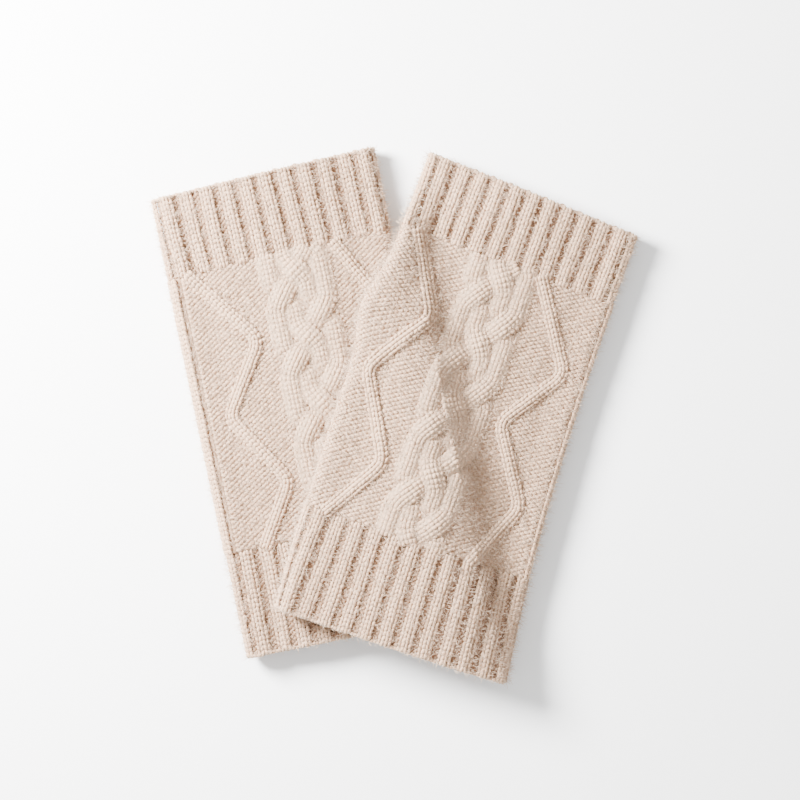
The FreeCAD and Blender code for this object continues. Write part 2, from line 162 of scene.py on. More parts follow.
def surface(glove, across, along, lift=0.0):
    """Points at a height above the knitting's outer face, in mm."""
    across, along, lift = np.broadcast_arrays(*(np.asarray(v, float) for v in (across, along, lift)))
    flat = flat_half(glove, along)
    side = np.sign(across)
    reach = np.abs(across)
    turn = np.clip((reach - flat) / FOLD_RADIUS, 0, math.pi)
    under = np.maximum(reach - flat - WRAP, 0)
    radius = FOLD_RADIUS + lift
    crown = CROWN * np.clip(1 - (reach / flat) ** 2, 0, 1) * (reach < flat)
    hollow = np.exp(-((reach - flat + HOLLOW_FROM_FOLD) / HOLLOW_SPREAD) ** 2)
    from_plait = np.abs(across - PLAIT_LINE[glove]) / BRAID_HALF
    crown = crown - HOLLOW_DEPTH * hollow + PLAIT_SWELL / (1 + np.clip(from_plait, 0, 4) ** 8)
    sideways = side * (np.minimum(reach, flat) - under + radius * np.sin(turn))
    height = FOLD_RADIUS + PALM_RISE + (radius - PALM_RISE) * np.cos(turn) + crown
    along = along + sideways * slope_across(glove, along)
    if glove == "upper":
        flop = np.clip((-sideways - 12) / 30, 0, 1) ** 2
        sideways = sideways - BULGE * flop * np.exp(-((along - BULGE_ALONG) / BULGE_SPREAD) ** 2)
    sideways = sideways + bend(glove, along)
    centre, up = LIE[glove]
    x = centre[0] + sideways * up[1] + along * up[0]
    y = centre[1] - sideways * up[0] + along * up[1]
    ripple = RIPPLE * np.sin(x / 17.0 + 1.3 * np.sin(y / 23.0)) * (height > FOLD_RADIUS)
    height = height + ripple * np.clip((height - FOLD_RADIUS) / FOLD_RADIUS, 0, 1)
    if glove == "upper":
        drop, slope = fall(x * FALL_WAY[0] + y * FALL_WAY[1] - FALL_START)
        height = drop + FOLD_RADIUS + (height - FOLD_RADIUS) / np.cos(slope)
    return np.stack([x, y, height], axis=-1)


# ---------------------------------------------------------------- stitches

def euler_of(right, forward, out):
    """XYZ angles of the turn whose columns are the three directions."""
    matrix = np.stack([right, forward, out], axis=-1)
    y_angle = np.arcsin(np.clip(-matrix[:, 2, 0], -1, 1))
    x_angle = np.arctan2(matrix[:, 2, 1], matrix[:, 2, 2])
    z_angle = np.arctan2(matrix[:, 1, 0], matrix[:, 0, 0])
    return np.stack([x_angle, y_angle, z_angle], axis=-1)


def unit(v):
    return v / np.linalg.norm(v, axis=-1, keepdims=True)


class Stitches:
    """A growing list of stitch places, each with its turn, size and a colour value: low for painted
    shade, high for the yarn's own colour.
    """

    def __init__(self, glove):
        self.glove = glove
        self.rows = []

    def add(self, across, along, lift, lean, size, shade_and_tone, dip=0.0, roll=0.0):
        """lean turns a stitch in the fabric, dip sinks its wrist end, roll tips it sideways."""
        across, along, lift, lean, shade_and_tone, dip, roll = (
            np.ravel(v) for v in np.broadcast_arrays(across, along, lift, lean, shade_and_tone, dip, roll))
        step = 0.2
        place = surface(self.glove, across, along, lift)
        right = unit(surface(self.glove, across + step, along, lift)
                     - surface(self.glove, across - step, along, lift))
        ahead = unit(surface(self.glove, across, along + step, lift)
                     - surface(self.glove, across, along - step, lift))
        out = unit(np.cross(right, ahead))
        ahead = np.cross(out, right)
        cos, sin = np.cos(lean)[:, None], np.sin(lean)[:, None]
        forward = ahead * cos + right * sin
        side = right * cos - ahead * sin
        cos, sin = np.cos(dip)[:, None], np.sin(dip)[:, None]
        forward, out = forward * cos + out * sin, out * cos - forward * sin
        cos, sin = np.cos(roll)[:, None], np.sin(roll)[:, None]
        side, out = side * cos - out * sin, out * cos + side * sin
        wobble = RANDOM.normal(0, 0.05, (len(place), 3))
        scale = np.array(size) * RANDOM.normal(1, 0.06, (len(place), 1)).clip(0.85, 1.15)
        angles = euler_of(side, forward, out) + RANDOM.normal(0, 0.05, (len(place), 3))
        # Painted shade from the value given, plus random tone from the noise.
        shade = shade_and_tone + RANDOM.normal(0, 0.06, len(place))
        self.rows.append(np.hstack([place + wobble, angles, scale, shade[:, None],
                                    across[:, None], along[:, None]]))

    def table(self):
        return np.vstack(self.rows)


LEG_LEAN = math.radians(17)
KNIT_LEG = (1.52, 2.75, 1.3)           # width, length and thickness of a leg in the ribs
KNIT_WALES = 2                         # side by side in a rib
PURL_BUMP = (1.45, 1.25)               # width and thickness
PURL_LENGTH = 0.8                      # as a share of its wale
BODY_LEG = (1.5, 2.7, 1.35)            # a leg in plain stocking stitch


def courses(start, end):
    """Places of the rows of stitches between two ends."""
    count = max(1, int(round(abs(end - start) / COURSE)))
    return start + (end - start) * (np.arange(count) + 0.5) / count


def knit_legs(stitches, across, along, lift, path_lean=0.0, leg=LEG, shade_and_tone=0.85, fall_off=0.95):
    """Knit wales side by side: two legs to a stitch, meeting in a V towards the wrist."""
    for index in range(2 * KNIT_WALES):
        offset = (index - KNIT_WALES + 0.5) * leg
        side = 1 if index % 2 else -1
        edge = abs(offset) / (KNIT_WALES * leg)
        sideways = offset * np.cos(path_lean)
        lengthways = -offset * np.sin(path_lean)
        # Legs towards a rib's sides are painted darker, as shade where they roll down into the grooves.
        stitches.add(across + sideways, along + lengthways, lift - fall_off * edge ** 2.2,
                     path_lean + side * LEG_LEAN, KNIT_LEG, shade_and_tone - 0.14 * edge ** 2, dip=0.14,
                     roll=0.75 * edge * np.sign(offset))


def purl_bumps(stitches, across, along, lift, width, shade_and_tone):
    """Rows of purl bumps: little arcs lying across the fabric, staggered by half a stitch."""
    quarter = math.pi / 2
    for shift, half_row, bend in ((-0.25, 0.0, 0.16), (0.25, 0.5, -0.16)):
        size = (PURL_BUMP[0], width * PURL_LENGTH, PURL_BUMP[1])
        stitches.add(across + shift * width, along + half_row * COURSE, lift, quarter + bend, size, shade_and_tone,
                     roll=0.25)


# ---------------------------------------------------------------- base fabric under the stitches

def half_round(glove, along):
    """Distance round the tube from the middle of the back to the middle of the palm."""
    return 2 * flat_half(glove, along) + WRAP


def side_line(glove, sign, wrapped=0.0):
    """A strip's side: where the back's flat ends, or some way from there round the fold."""
    def line(along):
        return sign * (flat_half(glove, along) + wrapped * WRAP)
    return line


def straight_line(place):
    """A strip's side at one place round the tube, all the way along."""
    def line(along):
        return place + 0 * along
    return line


def left_first(sign, near, far):
    return (near, far) if sign > 0 else (far, near)


GROUND_BASE = -0.85                    # the base fabric's outer face, under the purl ground
RIB_BASE = -1.75                       # and under the ribs, where it closes the grooves


def slab(glove, left, right, bottom, top, outer=GROUND_BASE, inner=-2.35, cell=2.2, hole=None):
    """A closed layer of fabric. left and right give its sides, round the tube, at a place along."""
    rows = max(2, int((top - bottom) / cell))
    columns = max(2, int(np.max(np.abs(right(np.array(0.0)) - left(np.array(0.0)))) / cell))
    along, share = np.meshgrid(np.linspace(bottom, top, rows + 1), np.linspace(0, 1, columns + 1),
                               indexing="ij")
    across = left(along) * (1 - share) + right(along) * share
    outside = surface(glove, across, along, outer).reshape(-1, 3)
    inside = surface(glove, across, along, inner).reshape(-1, 3)
    number = np.arange((rows + 1) * (columns + 1)).reshape(rows + 1, columns + 1)
    quads = np.stack([number[:-1, :-1], number[:-1, 1:], number[1:, 1:], number[1:, :-1]], axis=-1)
    if hole is not None:
        mid_across = (across[:-1, :-1] + across[1:, 1:]) / 2
        mid_along = (along[:-1, :-1] + along[1:, 1:]) / 2
        quads = quads[~hole(mid_across, mid_along)]
    quads = quads.reshape(-1, 4)
    count = len(outside)
    edges = {}
    for quad in quads:
        for start, end in zip(quad, np.roll(quad, -1)):
            if (end, start) in edges:
                del edges[(end, start)]
            else:
                edges[(start, end)] = True
    walls = [(end, start, start + count, end + count) for start, end in edges]
    faces = np.vstack([quads, quads[:, ::-1] + count, np.array(walls)])
    used, faces = np.unique(faces, return_inverse=True)
    return np.vstack([outside, inside])[used], faces.reshape(-1, 4).tolist()


def core(glove, across, along, lift, width, height):
    """A closed rounded strip along a path, which fills the room under raised wales."""
    path = np.stack([across, along], axis=-1)
    way = unit(np.gradient(path, axis=0))
    beside = np.stack([way[:, 1], -way[:, 0]], axis=-1)
    around = np.linspace(0, 2 * math.pi, 12, endpoint=False)
    spread = beside[:, None, :] * (width / 2 * np.cos(around))[None, :, None]
    place = path[:, None, :] + spread
    rise = np.reshape(lift, (-1, 1)) + (height / 2 * np.sin(around))[None, :]
    rings = surface(glove, place[..., 0], place[..., 1], rise)
    points = rings.reshape(-1, 3)
    faces = []
    size = len(around)
    for ring in range(len(path) - 1):
        for step in range(size):
            after = (step + 1) % size
            faces.append((ring * size + step, ring * size + after,
                          (ring + 1) * size + after, (ring + 1) * size + step))
    faces.append(tuple(range(size))[::-1])
    faces.append(tuple((len(path) - 1) * size + step for step in range(size)))
    return points, faces


# ---------------------------------------------------------------- small shapes that repeat

def new_mesh(name, points, faces):
    mesh = bpy.data.meshes.new(name)
    mesh.from_pydata([tuple(p) for p in points], [], faces)
    mesh.update()
    return mesh


def leg_shape(name, sides, rings):
    """One leg of a stitch: a plump closed drop of unit size, lying along Y."""
    points = [(0, -0.5, -0.12)]
    faces = []
    for place, radius, sink in rings:
        for step in range(sides):
            angle = 2 * math.pi * step / sides
            points.append((0.5 * radius * math.cos(angle), place, 0.5 * radius * math.sin(angle) - sink))
    points.append((0, 0.5, -0.12))
    last = len(points) - 1
    for step in range(sides):
        after = (step + 1) % sides
        faces.append((0, 1 + step, 1 + after))
        for ring in range(len(rings) - 1):
            low = 1 + ring * sides
            faces.append((low + step, low + sides + step, low + sides + after, low + after))
        high = 1 + (len(rings) - 1) * sides
        faces.append((high + step, last, high + after))
    mesh = new_mesh(name, points, [tuple(reversed(face)) for face in faces])
    mesh.shade_smooth()
    return bpy.data.objects.new(name, mesh)


def fibre_shape(name):
    """A loose hair of unit length, bent over, thin and closed."""
    points = []
    faces = [(2, 1, 0)]
    for lean, height, radius in ((0.0, 0.0, 0.022), (0.2, 0.5, 0.018)):
        for step in range(3):
            angle = 2 * math.pi * step / 3
            points.append((lean + radius * math.cos(angle), radius * math.sin(angle), height))
    points.append((0.66, 0.0, 0.86))
    for step in range(3):
        after = (step + 1) % 3
        faces.append((step, after, 3 + after, 3 + step))
        faces.append((3 + step, 3 + after, 6))
    mesh = new_mesh(name, points, faces)
    mesh.shade_smooth()
    return bpy.data.objects.new(name, mesh)


FINE_RINGS = [(-0.36, 0.62, 0.06), (-0.08, 1.0, 0.0), (0.2, 0.95, 0.0), (0.4, 0.55, 0.06)]
PLAIN_RINGS = [(-0.3, 0.8, 0.03), (0.05, 1.0, 0.0), (0.34, 0.7, 0.05)]
LEG_FINE = leg_shape("stitch_leg", 6, FINE_RINGS)
LEG_PLAIN = leg_shape("plain_stitch_leg", 5, PLAIN_RINGS)
HAIR = fibre_shape("loose_hair")


# ---------------------------------------------------------------- yarn

def angora(name, ridge, groove, hair=False):
    """Soft brushed yarn: its own pale colour on the ridges, and painted shade, warmer and darker, down in
    the fabric and its gaps.
    """
    material = bpy.data.materials.new(name)
    material.use_nodes = True
    nodes, links = material.node_tree.nodes, material.node_tree.links
    shader = nodes["Principled BSDF"]
    shader.inputs["Roughness"].default_value = 0.92
    shader.inputs["Sheen Weight"].default_value = 0.2
    shader.inputs["Sheen Roughness"].default_value = 0.5
    shader.inputs["Sheen Tint"].default_value = (1.0, 0.9, 0.8, 1)
    shader.inputs["Specular IOR Level"].default_value = 0.15
    shader.inputs["Subsurface Weight"].default_value = 0.0 if hair else 0.4
    shader.inputs["Subsurface Radius"].default_value = (1.0, 0.75, 0.55)
    shader.inputs["Subsurface Scale"].default_value = 0.0016
    place = nodes.new("ShaderNodeTexCoord")
    shade_and_tone = nodes.new("ShaderNodeAttribute")
    shade_and_tone.attribute_name = "shade_and_tone"
    patches = nodes.new("ShaderNodeTexNoise")
    patches.inputs["Scale"].default_value = 55
    patches.inputs["Detail"].default_value = 4
    links.new(place.outputs["Object"], patches.inputs["Vector"])
    sum_up = nodes.new("ShaderNodeMath")
    sum_up.operation = "MULTIPLY_ADD"
    links.new(patches.outputs["Fac"], sum_up.inputs[0])
    sum_up.inputs[1].default_value = 0.5
    links.new(shade_and_tone.outputs["Fac"], sum_up.inputs[2])
    ramp = nodes.new("ShaderNodeValToRGB")
    ramp.color_ramp.elements[0].position = 0.25
    ramp.color_ramp.elements[0].color = (*groove, 1)
    ramp.color_ramp.elements[1].position = 1.0
    ramp.color_ramp.elements[1].color = (*ridge, 1)
    links.new(sum_up.outputs[0], ramp.inputs["Fac"])
    links.new(ramp.outputs["Color"], shader.inputs["Base Color"])
    plies = nodes.new("ShaderNodeTexNoise")
    plies.inputs["Scale"].default_value = 2600
    plies.inputs["Detail"].default_value = 3
    plies.inputs["Roughness"].default_value = 0.7
    links.new(place.outputs["Object"], plies.inputs["Vector"])
    bump = nodes.new("ShaderNodeBump")
    bump.inputs["Strength"].default_value = 0.5
    bump.inputs["Distance"].default_value = 0.0004
    links.new(plies.outputs["Fac"], bump.inputs["Height"])
    links.new(bump.outputs["Normal"], shader.inputs["Normal"])
    return material


# RIDGE is the yarn's own colour. The second, darker and warmer colour is painted shade for grooves, gaps
# and the sunk ground.
RIDGE = (0.42, 0.29, 0.205)
PAINTED_GROOVE_SHADE = (0.27, 0.165, 0.105)
YARN = angora("angora_yarn", RIDGE, PAINTED_GROOVE_SHADE)
DOWN = angora("angora_down", (0.58, 0.44, 0.34), (0.44, 0.31, 0.22), hair=True)


# ---------------------------------------------------------------- Geometry Nodes

def named_attribute(nodes, name, kind):
    node = nodes.new("GeometryNodeInputNamedAttribute")
    node.data_type = kind
    node.inputs["Name"].default_value = name
    return node.outputs["Attribute"]


def stitch_tree():
    """Puts one stitch shape at every loose point of a second mesh, and joins the base fabric."""
    tree = bpy.data.node_groups.new("knitted_fabric", "GeometryNodeTree")
    face = tree.interface
    face.new_socket("Geometry", in_out="INPUT", socket_type="NodeSocketGeometry")
    face.new_socket("Stitch places", in_out="INPUT", socket_type="NodeSocketObject")
    face.new_socket("Stitch shape", in_out="INPUT", socket_type="NodeSocketObject")
    face.new_socket("Plumpness", in_out="INPUT", socket_type="NodeSocketFloat").default_value = 1.0
    face.new_socket("Yarn", in_out="INPUT", socket_type="NodeSocketMaterial")
    face.new_socket("Geometry", in_out="OUTPUT", socket_type="NodeSocketGeometry")
    nodes, links = tree.nodes, tree.links
    given = nodes.new("NodeGroupInput")
    places = nodes.new("GeometryNodeObjectInfo")
    shape = nodes.new("GeometryNodeObjectInfo")
    links.new(given.outputs["Stitch places"], places.inputs["Object"])
    links.new(given.outputs["Stitch shape"], shape.inputs["Object"])
    turn = nodes.new("FunctionNodeEulerToRotation")
    links.new(named_attribute(nodes, "turn", "FLOAT_VECTOR"), turn.inputs["Euler"])
    plump = nodes.new("ShaderNodeVectorMath")
    plump.operation = "SCALE"
    links.new(named_attribute(nodes, "gauge", "FLOAT_VECTOR"), plump.inputs[0])
    links.new(given.outputs["Plumpness"], plump.inputs["Scale"])
    knit = nodes.new("GeometryNodeInstanceOnPoints")
    links.new(places.outputs["Geometry"], knit.inputs["Points"])
    links.new(shape.outputs["Geometry"], knit.inputs["Instance"])
    links.new(turn.outputs["Rotation"], knit.inputs["Rotation"])
    links.new(plump.outputs["Vector"], knit.inputs["Scale"])
    join = nodes.new("GeometryNodeJoinGeometry")
    links.new(knit.outputs["Instances"], join.inputs["Geometry"])
    links.new(given.outputs["Geometry"], join.inputs["Geometry"])
    real = nodes.new("GeometryNodeRealizeInstances")
    links.new(join.outputs["Geometry"], real.inputs["Geometry"])
    paint = nodes.new("GeometryNodeSetMaterial")
    links.new(real.outputs["Geometry"], paint.inputs["Geometry"])
    links.new(given.outputs["Yarn"], paint.inputs["Material"])
    result = nodes.new("NodeGroupOutput")
    links.new(paint.outputs["Geometry"], result.inputs["Geometry"])
    return tree


def down_tree():
    """Scatters loose hairs over a surface, standing out of it and leaning every way."""
    tree = bpy.data.node_groups.new("loose_down", "GeometryNodeTree")
    face = tree.interface
    face.new_socket("Geometry", in_out="INPUT", socket_type="NodeSocketGeometry")
    face.new_socket("Hair", in_out="INPUT", socket_type="NodeSocketObject")
    face.new_socket("Hairs per square metre", in_out="INPUT", socket_type="NodeSocketFloat")
    face.new_socket("Hair length", in_out="INPUT", socket_type="NodeSocketFloat")
    face.new_socket("Seed", in_out="INPUT", socket_type="NodeSocketInt")
    face.new_socket("Yarn", in_out="INPUT", socket_type="NodeSocketMaterial")
    face.new_socket("Geometry", in_out="OUTPUT", socket_type="NodeSocketGeometry")
    nodes, links = tree.nodes, tree.links
    given = nodes.new("NodeGroupInput")
    shape = nodes.new("GeometryNodeObjectInfo")
    links.new(given.outputs["Hair"], shape.inputs["Object"])
    scatter = nodes.new("GeometryNodeDistributePointsOnFaces")
    links.new(given.outputs["Geometry"], scatter.inputs["Mesh"])
    links.new(given.outputs["Hairs per square metre"], scatter.inputs["Density"])
    links.new(given.outputs["Seed"], scatter.inputs["Seed"])
    lean = nodes.new("FunctionNodeRandomValue")
    lean.data_type = "FLOAT_VECTOR"
    lean.inputs["Min"].default_value = (-1.0, -1.0, -math.pi)
    lean.inputs["Max"].default_value = (1.0, 1.0, math.pi)
    links.new(given.outputs["Seed"], lean.inputs["Seed"])
    lean_turn = nodes.new("FunctionNodeEulerToRotation")
    links.new(lean.outputs["Value"], lean_turn.inputs["Euler"])
    turn = nodes.new("FunctionNodeRotateRotation")
    turn.rotation_space = "LOCAL"
    links.new(scatter.outputs["Rotation"], turn.inputs["Rotation"])
    links.new(lean_turn.outputs["Rotation"], turn.inputs["Rotate By"])
    uneven = nodes.new("FunctionNodeRandomValue")
    uneven.data_type = "FLOAT"
    uneven.inputs[2].default_value = 0.45
    uneven.inputs[3].default_value = 1.25
    size = nodes.new("ShaderNodeMath")
    size.operation = "MULTIPLY"
    links.new(uneven.outputs[1], size.inputs[0])
    links.new(given.outputs["Hair length"], size.inputs[1])
    grow = nodes.new("GeometryNodeInstanceOnPoints")
    links.new(scatter.outputs["Points"], grow.inputs["Points"])
    links.new(shape.outputs["Geometry"], grow.inputs["Instance"])
    links.new(turn.outputs["Rotation"], grow.inputs["Rotation"])
    links.new(size.outputs["Value"], grow.inputs["Scale"])
    real = nodes.new("GeometryNodeRealizeInstances")
    links.new(grow.outputs["Instances"], real.inputs["Geometry"])
    paint = nodes.new("GeometryNodeSetMaterial")
    links.new(real.outputs["Geometry"], paint.inputs["Geometry"])
    links.new(given.outputs["Yarn"], paint.inputs["Material"])
    result = nodes.new("NodeGroupOutput")
    links.new(paint.outputs["Geometry"], result.inputs["Geometry"])
    return tree


FABRIC_TREE = stitch_tree()
DOWN_TREE = down_tree()


def grown(name, obj, tree, **inputs):
    """The plain mesh that a node tree makes of an object, as a new object of that name."""
    modifier = obj.modifiers.new("grow", "NODES")
    modifier.node_group = tree
    sockets = {item.name: item.identifier for item in tree.interface.items_tree if item.in_out == "INPUT"}
    for key, value in inputs.items():
        modifier[sockets[key.replace("_", " ")]] = value
    bpy.context.view_layer.update()
    seen = obj.evaluated_get(bpy.context.evaluated_depsgraph_get())
    mesh = bpy.data.meshes.new_from_object(seen)
    obj.modifiers.remove(modifier)
    mesh.name = name
    result = bpy.data.objects.new(name, mesh)
    bpy.context.scene.collection.objects.link(result)
    bpy.data.objects.remove(obj)
    return result


def float_attribute(mesh, name, values):
    data = mesh.attributes.new(name, "FLOAT", "POINT").data
    data.foreach_set("value", np.ascontiguousarray(values, np.float32))


def vector_attribute(mesh, name, values):
    data = mesh.attributes.new(name, "FLOAT_VECTOR", "POINT").data
    data.foreach_set("vector", np.ascontiguousarray(values, np.float32).ravel())


def join_parts(parts):
    """Points and faces of several closed shapes as one."""
    points = []
    faces = []
    count = 0
    for part_points, part_faces in parts:
        points.append(part_points)
        faces += [tuple(int(i) + count for i in face) for face in part_faces]
        count += len(part_points)
    return np.vstack(points), faces


def fabric(name, bases, table, base_shade_and_tone=0.1, fine=True):
    """One piece of knitting: its base fabric and every stitch on it."""
    points, faces = join_parts(bases)
    base_mesh = new_mesh(name + "_base", points * MM, faces)
    base_mesh.shade_smooth()
    # The base fabric shows in the gaps between stitches; its low value paints shade there.
    float_attribute(base_mesh, "shade_and_tone", np.full(len(points), base_shade_and_tone))
    base = bpy.data.objects.new(name + "_base", base_mesh)
    bpy.context.scene.collection.objects.link(base)
    place_mesh = bpy.data.meshes.new(name + "_places")
    place_mesh.from_pydata((table[:, :3] * MM).tolist(), [], [])
    vector_attribute(place_mesh, "turn", table[:, 3:6])
    vector_attribute(place_mesh, "gauge", table[:, 6:9] * MM)
    float_attribute(place_mesh, "shade_and_tone", table[:, 9])
    places = bpy.data.objects.new(name + "_places", place_mesh)
    bpy.context.scene.collection.objects.link(places)
    piece = grown(name, base, FABRIC_TREE, Stitch_places=places,
                  Stitch_shape=LEG_FINE if fine else LEG_PLAIN, Plumpness=1.0, Yarn=YARN)
    bpy.data.objects.remove(places)
    return piece


def down(name, glove, left, right, density, length, seed, span=(-HALF - 0.4, HALF + 0.4), lift=-0.2):
    """Loose hairs over one long strip of a glove."""
    points, faces = slab(glove, left, right, *span, outer=lift, inner=lift - 0.2, cell=4)
    faces = [face for face in faces if max(face) < len(points) // 2]      # the outer side alone
    mesh = new_mesh(name + "_ground", points * MM, faces)
    float_attribute(mesh, "shade_and_tone", np.full(len(points), 0.8))
    ground = bpy.data.objects.new(name + "_ground", mesh)
    bpy.context.scene.collection.objects.link(ground)
    return grown(name, ground, DOWN_TREE, Hair=HAIR, Hairs_per_square_metre=density,
                 Hair_length=length * MM, Seed=seed, Yarn=DOWN)


# ---------------------------------------------------------------- the knitted pattern

# middle rib's place and the ribs' pitch: first where the cuff meets the body, then at the glove's edge
RIBS = {("upper", "finger"): ((0.6, 7.3), (0.6, 7.3)), ("upper", "wrist"): ((-1.5, 7.6), (-3.4, 8.05)),
        ("lower", "finger"): ((1.5, 7.9), (0.5, 7.9)), ("lower", "wrist"): ((3.4, 7.9), (3.5, 8.0))}

# turning points of the zigzag ribs, as the gloves lie: (sideways, drop from the finger edge)
ZIGZAGS = {
    ("upper", "left"): [(-39.4, 27.0), (-22.8, 58.3), (-41.2, 84.4), (-23.6, 117.6), (-40.9, 145.5)],
    ("upper", "right"): [(11.2, 29.0), (32.4, 63.3), (14.2, 88.5), (32.4, 117.8), (19.4, 145.0)],
    ("lower", "left"): [(-37.0, 32.5), (-14.0, 63.2), (-31.8, 90.8), (-13.5, 118.9), (-29.5, 145.0)],
    ("lower", "right"): [(21.5, 31.0), (36.6, 60.0), (22.5, 88.5), (36.6, 117.5), (24.0, 145.0)],
}
# the plait: its middle line at the finger cuff and at the wrist cuff, and the drop to its first crossing
PLAIT = {"upper": (-3.0, -4.6, 35.2), "lower": (5.3, 5.0, 39.3)}
PLAIT_PITCH = {"upper": 27.0, "lower": 26.4}
COLUMN = 6.75                         # from one strand to the next, where they lie side by side
STRAND_WIDTH = 9.0
STRAND_RISE = 1.25                    # above its resting height, or below it, at a crossing
STRAND_LIFT = 0.35
STEP_OVER = 0.52                      # length of a step to the next column, in pitches
RISE_SPREAD = 0.15
STRAND_TUCK = 7.0                     # the strands sink into the cuffs over this length
LINE_STEP = 0.25                      # between the points of a drawn line
CORNER_STEPS = 26                     # of those, over which a zigzag rib turns
RIB_WANDER = 0.15                     # the ribs aren't quite straight
GROOVE_LIFT = -1.75
GROUND_LIFT = -0.78
TRAVEL_LIFT = 0.75
TRAVEL_LEG = 1.28
TRAVEL_GAP = 2.0                      # the ground is left out this near to a travelling rib's middle
STRAND_GAP = 3.4                      # and to a strand's


def zigzag(glove, side):
    """A zigzag rib's line, in even steps: straight runs with rounded corners."""
    turns = np.array(ZIGZAGS[glove, side])
    drop = np.arange(turns[0, 1], turns[-1, 1], LINE_STEP)
    sideways = np.interp(drop, turns[:, 1], turns[:, 0])
    carried_on = np.pad(sideways, CORNER_STEPS - 1, mode="reflect", reflect_type="odd")
    window = np.hanning(2 * CORNER_STEPS + 1)[1:-1] / CORNER_STEPS
    smooth = np.convolve(carried_on, window, mode="valid")
    own, along = on_glove(glove, smooth, drop)
    inside = (along < body_top(glove) + 0.5) & (along > body_bottom(glove) - 0.5)
    return own[inside], along[inside]


def even_rows(across, along, pitch):
    """Places at an even pitch along a line, and the line's lean there."""
    step = np.hypot(np.diff(across), np.diff(along))
    length = np.concatenate([[0], np.cumsum(step)])
    count = int(length[-1] / pitch)
    at = (np.arange(count) + 0.5) * length[-1] / count
    x, y = np.interp(at, length, across), np.interp(at, length, along)
    ahead_x, ahead_y = np.interp(at + 0.5, length, across), np.interp(at + 0.5, length, along)
    behind_x, behind_y = np.interp(at - 0.5, length, across), np.interp(at - 0.5, length, along)
    lean = np.arctan2(behind_x - ahead_x, behind_y - ahead_y)
    return x, y, lean


def eased(distance, width):
    """Rises smoothly from 0 to 1 over a width about a place."""
    share = np.clip(distance / width + 0.5, 0, 1)
    return share * share * (3 - 2 * share)


# Going down the plait, a strand steps over a neighbour or under it at each of these places, in
# pitches: (place, way, over or under). Four strands follow one another a pitch apart.
STEPS = [(2 / 3, -1, 1), (1, -1, -1), (4 / 3, -1, 1), (7 / 3, 1, -1), (3, 1, 1), (11 / 3, 1, -1)]


def strand(glove, number):
    """One strand of the plait: its line, and how high it rides."""
    finger_middle, wrist_middle, first = PLAIT[glove]
    drop = np.arange(FINGER_CUFF[glove] - 0.5, GLOVE_LENGTH - WRIST_CUFF[glove] + 1.0, LINE_STEP)
    phase = np.mod((drop - first) / PLAIT_PITCH[glove] - number, 4)
    column = np.full(len(drop), 1.5)
    lift = np.full(len(drop), STRAND_LIFT)
    for place, way, over in STEPS:
        column += way * eased(phase - place, STEP_OVER)
        lift += over * STRAND_RISE * np.exp(-((phase - place) / RISE_SPREAD) ** 2)
    share = (drop - drop[0]) / (drop[-1] - drop[0])
    sideways = finger_middle + (wrist_middle - finger_middle) * share + column * COLUMN
    ends = np.minimum(drop - drop[0], drop[-1] - drop)
    lift = lift * np.clip(ends / STRAND_TUCK, 0, 1) ** 0.5
    own, along = on_glove(glove, sideways, drop)
    return own, along, lift


def near_line(across, along, line_across, line_along, gap):
    """Which places lie nearer than a gap to a line, measured straight across the glove."""
    order = np.argsort(line_along)
    beside = np.interp(along, line_along[order], line_across[order])
    slope = np.interp(along, line_along[order], np.gradient(line_across, line_along)[order])
    inside = (along > line_along.min() - 1) & (along < line_along.max() + 1)
    return inside & (np.abs(across - beside) < gap * np.sqrt(1 + slope ** 2))


def cuff_stitches(glove, cuff):
    """Every stitch of a ribbed cuff, all the way round, with its cast-on or bound-off edge."""
    stitches = Stitches(glove)
    top, bottom = (HALF, body_top(glove)) if cuff == "finger" else (body_bottom(glove), -HALF)
    edge, inner = (HALF, body_top(glove)) if cuff == "finger" else (-HALF, body_bottom(glove))
    inward = -1 if cuff == "finger" else 1
    rows = courses(bottom, top)
    (near_shift, near_pitch), (far_shift, far_pitch) = RIBS[glove, cuff]
    to_edge = (rows - inner) / (edge - inner)
    shift = near_shift + (far_shift - near_shift) * to_edge
    pitch = near_pitch + (far_pitch - near_pitch) * to_edge
    reach = half_round(glove, (top + bottom) / 2)
    count = int(reach / near_pitch) + 1
    for number in range(-count, count + 1):
        rib = shift + number * pitch + RIB_WANDER * np.sin(rows / 9.0 + number)
        groove = rib + pitch / 2
        rib_edge = far_shift + number * far_pitch
        if abs(rib_edge) < reach - 1:
            knit_legs(stitches, rib, rows, -0.05)
            offsets = np.array([-1.95, -0.65, 0.65, 1.95])
            stitches.add(rib_edge + offsets, edge + inward * 0.55, -0.45 - 0.12 * np.abs(offsets), 1.4,
                         (1.5, 2.1, 1.6), 0.82)
        if abs(rib_edge + far_pitch / 2) < reach - 1:
            # The purl bumps down in the grooves, and the edge stitches over them, get painted shade.
            purl_bumps(stitches, groove, rows, GROOVE_LIFT, 2.7, 0.0)
            stitches.add(rib_edge + far_pitch / 2 + np.array([-0.7, 0.7]), edge + inward * 0.45, -1.0,
                         1.5, (1.4, 2.0, 1.6), 0.6)
    return stitches.table(), (bottom, top)


